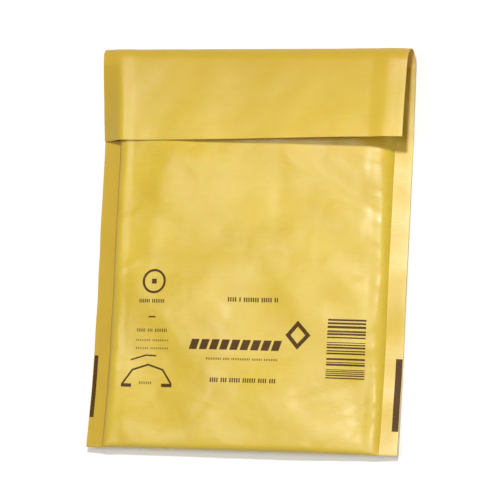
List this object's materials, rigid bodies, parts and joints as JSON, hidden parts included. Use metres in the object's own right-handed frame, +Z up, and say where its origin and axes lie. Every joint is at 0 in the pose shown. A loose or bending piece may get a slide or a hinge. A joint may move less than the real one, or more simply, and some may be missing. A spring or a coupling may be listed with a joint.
{
  "type": "padded envelope",
  "caption": "Small kraft mailer with a bubble-film lining, glued at both sides, with a rolled flap lying loose over its mouth.",
  "frame": {"origin": "under the middle of the envelope, on the surface it lies on", "axes": "+X across the front to its right, +Y from the bottom fold to the flap, +Z up out of the front"},
  "size_m": [0.13, 0.162, 0.0179],
  "materials": {
    "kraft_paper": "smooth golden kraft, slightly glossy",
    "bubble_film": "clear to milky polyethylene film",
    "hot_melt_glue": "pale amber, tacky",
    "release_paper": "white siliconised paper",
    "printed_ink": "dark brown ink soaked into the kraft"
  },
  "bodies": {
    "root": {"outer_sheet": "kraft_paper", "bubble_lining": "bubble_film", "adhesive_strip": "hot_melt_glue", "release_liner": "release_paper"}
  },
  "joints": []
}
